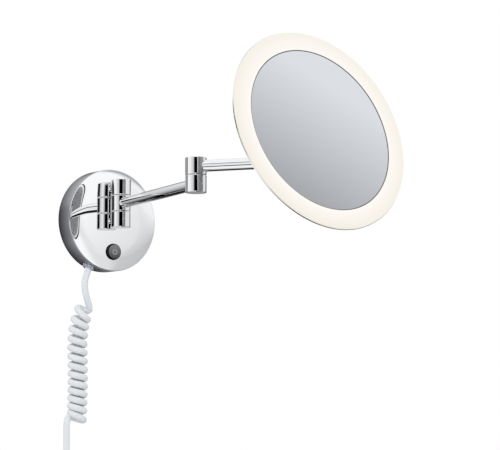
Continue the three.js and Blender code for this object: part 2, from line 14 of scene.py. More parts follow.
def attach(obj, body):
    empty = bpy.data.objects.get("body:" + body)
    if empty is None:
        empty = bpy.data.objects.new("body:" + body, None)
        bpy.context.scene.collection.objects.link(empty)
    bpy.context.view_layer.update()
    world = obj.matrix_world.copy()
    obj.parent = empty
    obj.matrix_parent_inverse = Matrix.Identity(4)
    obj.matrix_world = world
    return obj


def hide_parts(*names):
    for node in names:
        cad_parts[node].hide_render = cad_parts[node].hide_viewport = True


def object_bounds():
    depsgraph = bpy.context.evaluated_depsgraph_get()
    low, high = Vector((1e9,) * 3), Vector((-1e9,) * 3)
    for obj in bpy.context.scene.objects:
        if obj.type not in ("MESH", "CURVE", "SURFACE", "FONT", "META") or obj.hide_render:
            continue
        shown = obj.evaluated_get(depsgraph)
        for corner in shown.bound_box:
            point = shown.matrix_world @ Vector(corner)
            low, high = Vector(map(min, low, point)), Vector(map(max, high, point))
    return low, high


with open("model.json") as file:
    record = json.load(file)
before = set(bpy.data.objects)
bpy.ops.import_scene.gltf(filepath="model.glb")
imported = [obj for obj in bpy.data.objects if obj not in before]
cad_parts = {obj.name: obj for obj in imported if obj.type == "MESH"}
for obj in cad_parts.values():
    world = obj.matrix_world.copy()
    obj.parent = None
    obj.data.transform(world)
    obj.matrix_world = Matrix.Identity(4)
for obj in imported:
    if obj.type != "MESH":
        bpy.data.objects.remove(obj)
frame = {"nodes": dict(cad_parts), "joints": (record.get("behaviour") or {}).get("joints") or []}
cad_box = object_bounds()

MM = 0.001

# ---- driving sizes in mm ----
ROSE_RADIUS = 58.5
ROSE_DEPTH = 25.2
BUTTON_RADIUS = 9.1
BUTTON_PROUD = 3.2  # how far the button stands out of the rose
HEAD_RADIUS = 105.4
MIRROR_RADIUS = 85.5

# ---- camera ----
CAMERA_AT = Vector((-0.92284, -1.45111, -0.18599))
CAMERA_HEADING = 38.19  # degrees from straight at the wall, towards +X
CAMERA_PITCH = 6.09
CAMERA_LENS = 106.9  # on a 36 mm sensor


def add_camera():
    data = bpy.data.cameras.new("camera")
    data.lens = CAMERA_LENS
    data.sensor_width = 36
    data.clip_end = 50
    camera = bpy.data.objects.new("camera", data)
    camera.location = CAMERA_AT
    camera.rotation_euler = (radians(90 + CAMERA_PITCH), 0, -radians(CAMERA_HEADING))
    bpy.context.collection.objects.link(camera)
    bpy.context.scene.camera = camera


add_camera()

# ---- node helpers ----


def node_tree(owner):
    owner.use_nodes = True
    owner.node_tree.nodes.clear()
    return owner.node_tree


def add_node(tree, kind, inputs=None, **settings):
    node = tree.nodes.new(kind)
    for key, value in settings.items():
        setattr(node, key, value)
    for key, value in (inputs or {}).items():
        if isinstance(value, bpy.types.NodeSocket):
            tree.links.new(value, node.inputs[key])
        else:
            node.inputs[key].default_value = value
    return node


def math(tree, operation, a, b=0.0):
    return add_node(tree, "ShaderNodeMath", {0: a, 1: b}, operation=operation).outputs[0]


def ramp(tree, value, low, high, to_low=0.0, to_high=1.0, smooth=True):
    """Brings low..high onto to_low..to_high, clamped at both ends, with soft shoulders if smooth."""
    kind = "SMOOTHSTEP" if smooth else "LINEAR"
    inputs = {"Value": value, "From Min": low, "From Max": high, "To Min": to_low, "To Max": to_high}
    return add_node(tree, "ShaderNodeMapRange", inputs, interpolation_type=kind).outputs[0]


def mix_colour(tree, factor, a, b):
    node = add_node(tree, "ShaderNodeMix", data_type="RGBA")
    for socket, value in ((node.inputs[0], factor), (node.inputs[6], a), (node.inputs[7], b)):
        if isinstance(value, bpy.types.NodeSocket):
            tree.links.new(value, socket)
        else:
            socket.default_value = value
    return node.outputs[2]


def object_position(tree):
    return add_node(tree, "ShaderNodeTexCoord").outputs["Object"]


def object_axes(tree):
    return add_node(tree, "ShaderNodeSeparateXYZ", {0: object_position(tree)}).outputs


def radius_about_y(tree, axes):
    """Distance from the object's own Y axis."""
    across = math(tree, "MULTIPLY", axes[0], axes[0])
    upright = math(tree, "MULTIPLY", axes[2], axes[2])
    return math(tree, "SQRT", math(tree, "ADD", across, upright))


def noise(tree, scale, detail):
    inputs = {"Vector": object_position(tree), "Scale": scale, "Detail": detail, "Roughness": 0.55}
    return add_node(tree, "ShaderNodeTexNoise", inputs).outputs["Fac"]


def bump(tree, height, strength, distance):
    inputs = {"Height": height, "Strength": strength, "Distance": distance}
    return add_node(tree, "ShaderNodeBump", inputs).outputs[0]


def surface(name, colour, roughness, metallic=0.0):
    """A new material with a Principled shader; returns the material, its tree and the shader."""
    material = bpy.data.materials.new(name)
    tree = node_tree(material)
    inputs = {"Base Color": (*colour, 1), "Roughness": roughness, "Metallic": metallic}
    shader = add_node(tree, "ShaderNodeBsdfPrincipled", inputs)
    output = add_node(tree, "ShaderNodeOutputMaterial")
    tree.links.new(shader.outputs[0], output.inputs[0])
    return material, tree, shader


# ---- materials ----
NOISE_MIDDLE = (0.3, 0.7)  # the span in which most of a noise texture's values lie
NOISE_UPPER = (0.4, 0.75)
GRAIN_DEPTH = 0.2 * MM
ROSE_WHITE = (0.95, 0.955, 0.96, 1)
# painted shade on the rose's side: grey at the front and near black at the wall, a painted reflection of
# the wall's shade
ROSE_SIDE_PAINTED_SHADE_FRONT = (0.33, 0.34, 0.365, 1)
ROSE_SIDE_PAINTED_SHADE_BACK = (0.03, 0.034, 0.042, 1)
ROSE_SIDE_METAL = 0.35
ROSE_SIDE_HAZE = 0.2
RING_INNER_GLOW = (0.82, 0.785, 0.735, 1)
RING_OUTER_GLOW = (0.745, 0.695, 0.61, 1)
CORD_PALE = (0.815, 0.83, 0.852, 1)
CORD_DULL = (0.785, 0.8, 0.822, 1)
# painted light and shade on the button: lighter at the top, darker at the bottom, near black on its rim and
# side wall
BUTTON_PAINTED_LIGHT_TOP = (0.24, 0.243, 0.25, 1)
BUTTON_PAINTED_SHADE_BOTTOM = (0.05, 0.051, 0.056, 1)
BUTTON_PAINTED_SHADE_SIDE = (0.004, 0.004, 0.005, 1)


def chrome_plate():
    material, tree, shader = surface("chrome_plate", (0.9, 0.905, 0.915), 0.03, 1.0)
    haze = ramp(tree, noise(tree, 60, 4), *NOISE_UPPER, 0.004, 0.018)
    tree.links.new(haze, shader.inputs["Roughness"])
    return material


def rose_chrome_painted_side():
    """Polished chrome with painted shade on its side: a painted reflection of the wall's shade, grey at the
    front and darkening towards the wall.
    """
    material, tree, shader = surface("rose_chrome_painted_side", (0.9, 0.905, 0.915), 0.03, 1.0)
    axes = object_axes(tree)
    radius = radius_about_y(tree, axes)
    side = ramp(tree, radius, (ROSE_RADIUS - 0.8) * MM, (ROSE_RADIUS - 0.1) * MM)
    # painted shade: the side's colour darkens towards the wall
    painted_wall_shade = ramp(tree, axes[1], -(ROSE_DEPTH - 1.4) * MM, -1 * MM, smooth=False)
    shade = mix_colour(tree, painted_wall_shade, ROSE_SIDE_PAINTED_SHADE_FRONT, ROSE_SIDE_PAINTED_SHADE_BACK)
    tree.links.new(mix_colour(tree, side, ROSE_WHITE, shade), shader.inputs["Base Color"])
    # the side is less metallic and rougher so that its painted shade shows
    tree.links.new(ramp(tree, side, 0.0, 1.0, 1.0, ROSE_SIDE_METAL), shader.inputs["Metallic"])
    haze = ramp(tree, noise(tree, 50, 4), *NOISE_UPPER, 0.012, 0.035)
    side_haze = math(tree, "MULTIPLY", side, ROSE_SIDE_HAZE)
    tree.links.new(math(tree, "ADD", haze, side_haze), shader.inputs["Roughness"])
    return material


def satin_metal(name, colour, roughness, grain=900.0, metallic=1.0):
    """Blasted or cast metal: a fine grain, with broad patches that are a little duller."""
    material, tree, shader = surface(name, colour, roughness, metallic)
    speckle = noise(tree, grain, 4)
    gloss = ramp(tree, speckle, *NOISE_MIDDLE, roughness * 0.8, roughness * 1.25)
    tree.links.new(gloss, shader.inputs["Roughness"])
    patches = ramp(tree, noise(tree, grain / 12, 3), *NOISE_MIDDLE)
    dull = tuple(0.86 * c for c in colour)
    tree.links.new(mix_colour(tree, patches, (*dull, 1), (*colour, 1)), shader.inputs["Base Color"])
    tree.links.new(bump(tree, speckle, 0.04, GRAIN_DEPTH), shader.inputs["Normal"])
    return material


def moulded(name, colour, roughness, grain=1400.0, strength=0.1):
    """Moulded plastic or rubber: a fine spark-eroded grain and a faint drift in colour."""
    material, tree, shader = surface(name, colour, roughness)
    drift = ramp(tree, noise(tree, 45, 2), *NOISE_MIDDLE)
    dull = tuple(0.93 * c for c in colour)
    tree.links.new(mix_colour(tree, drift, (*dull, 1), (*colour, 1)), shader.inputs["Base Color"])
    speckle = noise(tree, grain, 3)
    gloss = ramp(tree, speckle, *NOISE_MIDDLE, roughness * 0.9, min(1.0, roughness * 1.12))
    tree.links.new(gloss, shader.inputs["Roughness"])
    tree.links.new(bump(tree, speckle, strength, GRAIN_DEPTH), shader.inputs["Normal"])
    return material


def silvered_glass():
    material, tree, shader = surface("silvered_glass", (0.905, 0.93, 0.97), 0.0, 1.0)
    haze = ramp(tree, noise(tree, 12, 3), 0.45, 0.8, 0.0, 0.012)
    tree.links.new(haze, shader.inputs["Roughness"])
    return material


def lit_acrylic():
    """Opal acrylic lit from its inner edge: brightest beside the mirror and warmer outwards."""
    material, tree, shader = surface("lit_acrylic", (0.14, 0.14, 0.14), 0.35)
    radius = radius_about_y(tree, object_axes(tree))
    outwards = ramp(tree, radius, (MIRROR_RADIUS + 0.7) * MM, (HEAD_RADIUS + 0.1) * MM, smooth=False)
    glow = mix_colour(tree, outwards, RING_INNER_GLOW, RING_OUTER_GLOW)
    tree.links.new(glow, shader.inputs["Emission Color"])
    shader.inputs["Emission Strength"].default_value = 1.0
    grain = ramp(tree, noise(tree, 700, 3), *NOISE_MIDDLE, 0.3, 0.42)
    tree.links.new(grain, shader.inputs["Roughness"])
    return material


def frosted_clear():
    material, tree, shader = surface("frosted_clear", (0.8, 0.86, 0.93), 0.2)
    shader.inputs["Transmission Weight"].default_value = 0.75
    shader.inputs["IOR"].default_value = 1.45
    grain = ramp(tree, noise(tree, 500, 3), *NOISE_MIDDLE, 0.15, 0.3)
    tree.links.new(grain, shader.inputs["Roughness"])
    return material


def cord_sheath():
    """Soft vinyl that lets a little light in, and shifts slightly in colour along its length."""
    material, tree, shader = surface("cord_sheath", (0.82, 0.835, 0.86), 0.42)
    shader.inputs["Subsurface Weight"].default_value = 0.12
    shader.inputs["Subsurface Radius"].default_value = (3 * MM, 3 * MM, 3 * MM)
    mottle = ramp(tree, noise(tree, 60, 2), *NOISE_MIDDLE)
    tree.links.new(mix_colour(tree, mottle, CORD_DULL, CORD_PALE), shader.inputs["Base Color"])
    grain = ramp(tree, noise(tree, 1800, 2), *NOISE_MIDDLE, 0.36, 0.5)
    tree.links.new(grain, shader.inputs["Roughness"])
    return material


def button_rubber():
    """Soft rubber with painted light: the face is painted lighter at the top and darker downwards, and the
    rim and sides carry near-black painted shade.
    """
    material, tree, shader = surface("button_rubber", (0.12, 0.122, 0.13), 0.5)
    axes = object_axes(tree)
    # painted light: the face is lighter at the top and darker towards the bottom
    upwards = ramp(tree, axes[2], -(BUTTON_RADIUS - 0.1) * MM, (BUTTON_RADIUS - 1.1) * MM, smooth=False)
    face = mix_colour(tree, upwards, BUTTON_PAINTED_SHADE_BOTTOM, BUTTON_PAINTED_LIGHT_TOP)
    radius = radius_about_y(tree, axes)
    # painted shade: the rim and the side wall are near black
    rim = ramp(tree, radius, (BUTTON_RADIUS - 1.3) * MM, (BUTTON_RADIUS - 0.8) * MM)
    top = ROSE_DEPTH + BUTTON_PROUD
    wall = ramp(tree, axes[1], -(top - 0.1) * MM, -(top - 0.8) * MM)
    side = math(tree, "MAXIMUM", rim, wall)
    tree.links.new(mix_colour(tree, side, face, BUTTON_PAINTED_SHADE_SIDE), shader.inputs["Base Color"])
    shader.inputs["Specular IOR Level"].default_value = 0.15
    grain = noise(tree, 2200, 3)
    tree.links.new(ramp(tree, grain, *NOISE_MIDDLE, 0.35, 0.5), shader.inputs["Roughness"])
    tree.links.new(bump(tree, grain, 0.06, GRAIN_DEPTH / 2), shader.inputs["Normal"])
    return material


CHROME = chrome_plate()
ROSE_CHROME_PAINTED_SIDE = rose_chrome_painted_side()
SILVER = silvered_glass()
ACRYLIC = lit_acrylic()
CLEAR = frosted_clear()
SHEATH = cord_sheath()
STEEL = satin_metal("zinc_steel", (0.66, 0.67, 0.68), 0.28)
CASTING = satin_metal("zinc_casting", (0.5, 0.51, 0.52), 0.5, 500, 0.5)
ALUMINIUM = satin_metal("satin_aluminium", (0.36, 0.365, 0.378), 0.42, 1600, 0.15)
GASKET = moulded("gasket_rubber", (0.12, 0.12, 0.125), 0.6)
WHITE = moulded("white_moulding", (0.82, 0.82, 0.81), 0.5)
BOARD = moulded("white_board", (0.8, 0.82, 0.79), 0.45, 600)
DARK = moulded("dark_moulding", (0.035, 0.035, 0.038), 0.5)
PAINTED_LIGHT_RUBBER = button_rubber()
SYMBOL = moulded("symbol_rubber", (0.5, 0.505, 0.52), 0.4, 2200, 0.05)
NYLON = moulded("nylon", (0.75, 0.72, 0.64), 0.55)
PLUG = moulded("plug_moulding", (0.8, 0.815, 0.83), 0.45, 1500, 0.14)

# ---- the joints' places, and a local frame for each moving part ----
joints = {joint["name"]: joint for joint in frame["joints"]}


def joint_place(name):
    return Vector(joints[name]["pos_m"])


def heading(a, b):
    """Angle about +Z that turns straight out (-Y) to the direction from a to b."""
    return atan2(b.x - a.x, -(b.y - a.y))


shoulder = joint_place("shoulder_swivel")
elbow = joint_place("elbow_swivel")
head_swivel = joint_place("head_swivel")
tilt = joint_place("head_tilt")

HEAD_TILT = radians(16.1)
SEGMENT_PITCH = 18.5 * MM
SEGMENT_RADIUS = 11 * MM
SEGMENT_HEIGHT = 18.1 * MM
TUBE_RADIUS = 6 * MM
arm_1_height = shoulder.z
arm_2_height = arm_1_height + SEGMENT_PITCH
knuckle_height = arm_2_height + SEGMENT_PITCH

head_heading = heading(head_swivel, tilt)
tilt_frame = Matrix.Translation(tilt) @ Matrix.Rotation(head_heading, 4, "Z")
head_frame = tilt_frame @ Matrix.Rotation(-HEAD_TILT, 4, "X")
TO_UP = Matrix.Identity(4)
TO_OUT = Matrix.Rotation(pi / 2, 4, "X")  # local +Z to -Y
TO_ACROSS = Matrix.Rotation(pi / 2, 4, "Y")  # local +Z to +X

# ---- mesh helpers ----
SHARP = radians(35)


def shade(mesh):
    """Smooth shading that keeps sharp edges sharp."""
    mesh.normal_update()
    for face in mesh.faces:
        face.smooth = True
    for edge in mesh.edges:
        edge.smooth = len(edge.link_faces) != 2 or edge.calc_face_angle(0) < SHARP


def finish_mesh(name, mesh, material, matrix=None):
    """Turns a bmesh into a placed object of one material."""
    shade(mesh)
    data = bpy.data.meshes.new(name)
    mesh.to_mesh(data)
    mesh.free()
    data.materials.append(material)
    obj = bpy.data.objects.new(name, data)
    obj.matrix_world = matrix or Matrix.Identity(4)
    bpy.context.collection.objects.link(obj)
    return obj


def arc(cx, cy, radius, start, end, steps):
    """Points on a circle between two angles in degrees."""
    turn = [radians(start + (end - start) * i / steps) for i in range(steps + 1)]
    return [(cx + radius * cos(a), cy + radius * sin(a)) for a in turn]


def spin(mesh, profile, segments, turn=TO_UP):
    """Revolves (radius, height) points about local Z, then turns the result. Ends on the axis close it."""
    rings = []
    for radius, height in profile:
        if radius < 1e-7:
            rings.append([mesh.verts.new(turn @ Vector((0, 0, height)))])
            continue
        angles = [2 * pi * i / segments for i in range(segments)]
        places = [Vector((radius * cos(a), radius * sin(a), height)) for a in angles]
        rings.append([mesh.verts.new(turn @ place) for place in places])
    for lower, upper in zip(rings, rings[1:]):
        for i in range(segments):
            k = (i + 1) % segments
            corners = [lower[i % len(lower)], lower[k % len(lower)]]
            corners += [upper[k % len(upper)], upper[i % len(upper)]]
            corners = [v for n, v in enumerate(corners) if v not in corners[:n]]
            if len(corners) > 2:
                mesh.faces.new(corners)


def in_mm(profile):
    return [(radius * MM, height * MM) for radius, height in profile]


def turned(name, profile, material, matrix=None, turn=TO_UP, segments=128):
    """A turned piece from a profile of (radius, height) points in mm."""
    mesh = bmesh.new()
    spin(mesh, in_mm(profile), segments, turn)
    bmesh.ops.recalc_face_normals(mesh, faces=mesh.faces)
    return finish_mesh(name, mesh, material, matrix)


def tube_along(name, points, radius, resolution, material):
    """A round tube along a line of points: a curve of one open spline."""
    data = bpy.data.curves.new(name, "CURVE")
    data.dimensions = "3D"
    data.bevel_depth = radius
    data.bevel_resolution = resolution
    data.use_fill_caps = True
    spline = data.splines.new("POLY")
    spline.points.add(len(points) - 1)
    for point, place in zip(spline.points, points):
        point.co = (*place, 1)
    spline.use_smooth = True
    data.materials.append(material)
    tube = bpy.data.objects.new(name, data)
    bpy.context.collection.objects.link(tube)
    return tube


def stands_for(obj, body, *nodes):
    """Puts an object in the place of CAD nodes and lets it move with their body."""
    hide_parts(*nodes)
    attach(obj, body)
    return obj


def local_frame(place, turn, height):
    return Matrix.Translation((place.x, place.y, height)) @ Matrix.Rotation(turn, 4, "Z")


# ---- the mains cord ----
CORD_RADIUS = 3.7 * MM
CORD_DEPTH = 13.5 * MM
GLAND_ANGLE = radians(25.5)
COIL_RADIUS = 11.4 * MM
TURNS = 13.5
TURN_POINTS = 14
COIL_FACING = radians(38)  # the quarter from which each turn's crossing strand is seen in front
CROWDING = 0.13  # the turns are spaced this much wider than the mean at the top, and closer at the bottom
PLAIN_LEAN = 0.05  # radians by which every turn leans over
TOP_LEAN = (0.9, 1.4)  # more lean at the top end, and the turns over which it fades
BOTTOM_LEAN = (0.55, 0.8)
COIL_KEPT = slice(4, -1)  # leaves out the end points, which make way for gentler bends


def from_rose(radius):
    """A point (x, z) on the gland's axis, this far from the rose's middle."""
    return (-radius * sin(GLAND_ANGLE), -radius * cos(GLAND_ANGLE))


LEAD_IN = [from_rose(44), from_rose(49), from_rose(54), from_rose(60), (-27.4, -61), (-29.6, -67),
           (-30.5, -74), (-29.9, -81), (-28.2, -87.5)]
INTO_COIL = (-22, -11, -103)
COIL_AXIS = [(-30, -101), (-33.4, -109), (-36.2, -117), (-38, -126), (-39.1, -138), (-39, -152),
             (-38.4, -168), (-38.1, -184), (-38.3, -200), (-38.5, -214), (-38.6, -228)]
OUT_OF_COIL = (-48, -11, -224)
TAIL = [(-51.7, -230), (-51.9, -238), (-51.8, -247), (-51.5, -264), (-51.3, -280), (-51.2, -300),
        (-51.2, -322), (-51.2, -345), (-51.2, -368)]
PLUG_X = -51.2
SLEEVE_TOP = -340
PLUG_TOP = -368.4
PIN_OFFSET = 9.3


def smooth_line(points, steps):
    """A Catmull-Rom line through the points, with even steps inside each stretch."""
    ends = [points[0] * 2 - points[1], *points, points[-1] * 2 - points[-2]]
    line = []
    for a, b, c, d in zip(ends, ends[1:], ends[2:], ends[3:]):
        for i in range(steps):
            t = i / steps
            line.append(0.5 * (2 * b + (c - a) * t + (2 * a - 5 * b + 4 * c - d) * t * t
                               + (3 * b - a - 3 * c + d) * t ** 3))
    return [*line, points[-1]]


def hung(route):
    """Points (x, z) in mm as places in the plane in which the cord hangs."""
    return [Vector((x * MM, -CORD_DEPTH, z * MM)) for x, z in route]


def length_of(line):
    return sum((b - a).length for a, b in zip(line, line[1:]))


def along(line, distance):
    """The point this far along a line."""
    for a, b in zip(line, line[1:]):
        step = (b - a).length
        if distance <= step:
            return a.lerp(b, distance / step)
        distance -= step
    return line[-1]


def curly_part():
    """Turns wound the left-hand way round the coil's axis.

    The end turns lean over where the cord pulls on them.
    """
    axis = smooth_line(hung(COIL_AXIS), 8)
    whole = length_of(axis)
    across = Vector((cos(COIL_FACING), -sin(COIL_FACING), 0))
    back = Vector((sin(COIL_FACING), cos(COIL_FACING), 0))
    up = Vector((0, 0, 1))
    reach = COIL_RADIUS - CORD_RADIUS
    points = []
    for i in range(int(TURNS * TURN_POINTS) + 1):
        turn = i / TURN_POINTS
        share = turn / TURNS
        centre = along(axis, whole * share * (1 + CROWDING - CROWDING * share))
        angle = 2 * pi * turn
        top_lean = TOP_LEAN[0] * exp(-turn / TOP_LEAN[1])
        bottom_lean = BOTTOM_LEAN[0] * exp((turn - TURNS) / BOTTOM_LEAN[1])
        lean = PLAIN_LEAN + top_lean + bottom_lean
        spread = cos(lean) * across - sin(lean) * up
        points.append(centre + (cos(angle) * spread + sin(angle) * back) * reach)
    return points


def cord_line():
    into = Vector(INTO_COIL) * MM
    out = Vector(OUT_OF_COIL) * MM
    return smooth_line([*hung(LEAD_IN), into, *curly_part()[COIL_KEPT], out, *hung(TAIL)], 3)


def add_cord(line):
    cord = tube_along("cord", line, CORD_RADIUS, 6, SHEATH)
    stands_for(cord, "rose", "cord_lead_in", "cord_coil", "cord_tail")
    return cord


route = cord_line()
cord = add_cord(route)


def plug_sleeve():
    """The plug's bend relief: a tapered sleeve with ribs."""
    ribs = []
    for i in range(7):
        low = -25.5 + 3.2 * i
        radius = 6.5 - 0.24 * i
        ribs += [(radius - 0.8, low), (radius, low + 0.5), (radius, low + 1.6), (radius - 0.8, low + 2.1)]
    profile = [(4.05, -27), (6.4, -27), *ribs, (4.9, -2.4), (4.8, -0.4), (4.4, 0), (4.05, 0), (4.05, -27)]
    matrix = Matrix.Translation((PLUG_X * MM, -CORD_DEPTH, SLEEVE_TOP * MM))
    sleeve = turned("plug_bend_relief", profile, PLUG, matrix, segments=64)
    return stands_for(sleeve, "rose", "plug_sleeve")


def prism(mesh, near, far):
    """A closed prism between two outlines; returns its end faces."""
    near = [mesh.verts.new(place) for place in near]
    far = [mesh.verts.new(place) for place in far]
    ends = [mesh.faces.new(near), mesh.faces.new(list(reversed(far)))]
    sides = []
    for i in range(len(near)):
        k = (i + 1) % len(near)
        sides.append(mesh.faces.new((near[k], near[i], far[i], far[k])))
    bmesh.ops.recalc_face_normals(mesh, faces=[*ends, *sides])
    return ends


def plug_body():
    """A flat two-pin plug that widens towards its pins, with grip ribs on both faces."""
    outline = [(-7.6, 0), (-9.4, -3), (-17.6, -22), (-17.6, -33), (-13.6, -36.4)]
    outline += [(-x, z) for x, z in reversed(outline)]
    mesh = bmesh.new()
    half = 6.85 * MM
    front, rear = ([(x * MM, y, z * MM) for x, z in outline] for y in (-half, half))
    prism(mesh, front, rear)
    bmesh.ops.bevel(mesh, geom=mesh.edges[:], offset=1.5 * MM, segments=4, profile=0.6, affect="EDGES")
    for side in (-1, 1):
        for i in range(5):
            grip = bmesh.ops.create_cube(mesh, size=1)["verts"]
            size = Matrix.Diagonal((0.9 * MM, 1.2 * MM, 12 * MM, 1))
            spot = Matrix.Translation(((-8 + 4 * i) * MM, side * (half - 0.2 * MM), -22 * MM))
            bmesh.ops.transform(mesh, matrix=spot @ size, verts=grip)
            edges = dict.fromkeys(edge for vert in grip for edge in vert.link_edges)
            bmesh.ops.bevel(mesh, geom=list(edges), offset=0.35 * MM, segments=2, affect="EDGES")
    matrix = Matrix.Translation((PLUG_X * MM, -CORD_DEPTH, PLUG_TOP * MM))
    return stands_for(finish_mesh("plug_moulded_body", mesh, PLUG, matrix), "rose", "plug_body")


def plug_pin(side):
    profile = [(0, -55.4), (1.0, -55.4), (1.7, -55.1), (2, -54.4), (2, -26.6), (0, -26.6)]
    x = PLUG_X + (-PIN_OFFSET if side == "left" else PIN_OFFSET)
    matrix = Matrix.Translation((x * MM, -CORD_DEPTH, PLUG_TOP * MM))
    pin = turned(f"plug_contact_{side}", profile, STEEL, matrix, segments=48)
    return stands_for(pin, "rose", f"plug_pin_{side}")


plug_pieces = [plug_sleeve(), plug_body(), plug_pin("left"), plug_pin("right")]

# ---- the wall rose ----
ROSE_FLAT = 35
ROSE_CROWN_SLOPE = 0.16  # slope that the face reaches at its edge, in radians
ROSE_ROLL = 1.2
ROSE_SHEET = 1.6
BUTTON_HEIGHT = -36.4
BUTTON_GAP = 0.4
STUD_HEIGHTS = (36.1, -0.9)
STUD_HOLE_RADIUS = 4.4
GLAND_HOLE_RADIUS = 5.4


def crown_drop(radius):
    """How far the face has fallen back at this distance from its middle."""
    past = max(0.0, radius - ROSE_FLAT)
    return ROSE_CROWN_SLOPE * past ** 2.5 / (2.5 * (ROSE_RADIUS - ROSE_FLAT) ** 1.5)


gland_frame = Matrix.Translation((0, -CORD_DEPTH, 0)) @ Matrix.Rotation(GLAND_ANGLE, 4, "Y")


def cut_holes(obj, drills):
    """Bores the drills out of the object and puts the result in its place."""
    for drill in drills:
        hole = obj.modifiers.new(drill.name, "BOOLEAN")
        hole.operation = "DIFFERENCE"
        hole.solver = "EXACT"
        hole.object = drill
    done = bpy.data.meshes.new_from_object(obj.evaluated_get(bpy.context.evaluated_depsgraph_get()))
    mesh = bmesh.new()
    mesh.from_mesh(done)
    shade(mesh)
    mesh.to_mesh(done)
    mesh.free()
    obj.modifiers.clear()
    obj.data = done
    for drill in drills:
        bpy.data.objects.remove(drill)


def rose_cover():
    """A deep-drawn cup: flat in the middle, gently crowned to a small rolled edge, with four holes."""
    edge = ROSE_RADIUS - ROSE_ROLL
    drop = crown_drop(edge)
    stops = [0, 10, 20, 28, *(32 + 1.2 * i for i in range(20))]
    face = [(r, ROSE_DEPTH - crown_drop(r)) for r in stops]
    first = 90 - degrees(ROSE_CROWN_SLOPE)
    corner = arc(edge, ROSE_DEPTH - drop - ROSE_ROLL, ROSE_ROLL, first, 0, 7)
    under = ROSE_DEPTH - ROSE_SHEET
    inner = [(0, under), (ROSE_FLAT, under), (edge - 1, under - drop)]
    profile = [*face, *corner, (ROSE_RADIUS, 21), (ROSE_RADIUS, 2), (ROSE_RADIUS, 0.8),
               (ROSE_RADIUS - 0.3, 0.5), (ROSE_RADIUS - ROSE_SHEET, 0.5), *reversed(inner)]
    shell = turned("rose_shell", profile, ROSE_CHROME_PAINTED_SIDE, turn=TO_OUT, segments=192)
    holes = [(BUTTON_HEIGHT, BUTTON_RADIUS + BUTTON_GAP), *((z, STUD_HOLE_RADIUS) for z in STUD_HEIGHTS)]
    drills = []
    for z, radius in holes:
        drill = [(0, 20), (radius, 20), (radius, 30), (0, 30)]
        place = Matrix.Translation((0, 0, z * MM))
        drills.append(turned(f"drill_{len(drills)}", drill, ROSE_CHROME_PAINTED_SIDE, place, TO_OUT, 64))
    drill = [(0, -50), (GLAND_HOLE_RADIUS, -50), (GLAND_HOLE_RADIUS, -65), (0, -65)]
    drills.append(turned("drill_gland", drill, ROSE_CHROME_PAINTED_SIDE, gland_frame))
    cut_holes(shell, drills)
    return stands_for(shell, "rose", "rose_cover")


def barrel_profile():
    """Half the outline of a hinge segment, with a loop beside each round that keeps the side straight."""
    half = SEGMENT_HEIGHT / 2 / MM
    radius = SEGMENT_RADIUS / MM
    round_off = 0.7
    bottom = arc(radius - round_off, round_off - half, round_off, -90, 0, 5)
    top = arc(radius - round_off, half - round_off, round_off, 0, 90, 5)
    inset = half - round_off - 0.25
    lower_half = [(0, -half), (radius - 1, -half), *bottom, (radius, -inset)]
    return [*lower_half, (radius, inset), *top, (radius - 1, half), (0, half)]


def barrel(name, node, body, place, height):
    obj = turned(name, barrel_profile(), CHROME, local_frame(place, 0, height), segments=128)
    return stands_for(obj, body, node)


def stud(name, node, z):
    tip = (-shoulder.y - SEGMENT_RADIUS) / MM + 4
    profile = [(0, 8.4), (3.5, 8.4), (4, 8.9), (4, tip - 0.5), (3.5, tip), (0, tip)]
    obj = turned(name, profile, CHROME, Matrix.Translation((0, 0, z * MM)), TO_OUT, 64)
    return stands_for(obj, "rose", node)


def button():
    """A domed rubber cap on a stem, with a flange that keeps it behind the rose's face."""
    face = ROSE_DEPTH + BUTTON_PROUD
    rim = arc(BUTTON_RADIUS - 1.4, face - 1.4, 1.4, 0, 75, 7)
    dome = [(6.5, face + 0.02), (5, face + 0.1), (3, face + 0.17), (0, face + 0.2)]
    stem = [(0, 15.4), (2, 15.4), (2, 18.6)]
    flange = [(10.9, 18.6), (10.9, 20.4), (BUTTON_RADIUS, 20.4)]
    profile = [*stem, *flange, *rim, *dome]
    matrix = Matrix.Translation((0, 0, BUTTON_HEIGHT * MM))
    cap = turned("button_cap", profile, PAINTED_LIGHT_RUBBER, matrix, TO_OUT, 96)
    return stands_for(cap, "button", "push_button")


def symbol_bead(name, line):
    """A raised bead along a line of (x, z) points in mm on the button's face."""
    y = -(ROSE_DEPTH + BUTTON_PROUD + 0.1) * MM
    points = [(x * MM, y, (BUTTON_HEIGHT + z) * MM) for x, z in line]
    bead = tube_along(name, points, 0.42 * MM, 4, SYMBOL)
    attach(bead, "button")


def gland():
    """A soft translucent grommet: flange, waist through the cover, and a flared collar round the cord."""
    r = ROSE_RADIUS
    bore = 3.9
    profile = [(bore, -48), (7.0, -48), (7.4, -48.4), (7.4, -(r - 3.2)), (5, -(r - 3.2)), (5, -(r + 0.3)),
               (6.7, -(r + 0.3)), (7, -(r + 0.6)), (7, -(r + 2.2)), (6.6, -(r + 2.9)), (5.6, -(r + 3.3)),
               (5.2, -(r + 3.8)), (bore, -(r + 3.8)), (bore, -48)]
    grommet = turned("cord_grommet", profile, CLEAR, gland_frame, segments=64)
    return stands_for(grommet, "rose", "cord_gland")


rose_cover()
for place, z in zip(("upper", "lower"), STUD_HEIGHTS):
    stud(f"stud_{place}", f"shoulder_stud_{place}", z)
barrel("shoulder_top", "shoulder_barrel_top", "rose", shoulder, arm_1_height + SEGMENT_PITCH)
barrel("shoulder_bottom", "shoulder_barrel_bottom", "rose", shoulder, arm_1_height - SEGMENT_PITCH)
button()
# the power symbol: an open ring and a bar
open_ring = [(2.7 * sin(radians(a)), 2.7 * cos(radians(a)) - 0.3) for a in range(38, 323, 8)]
symbol_bead("symbol_ring", open_ring)
symbol_bead("symbol_bar", [(0, 0.4), (0, 3.4)])
gland()

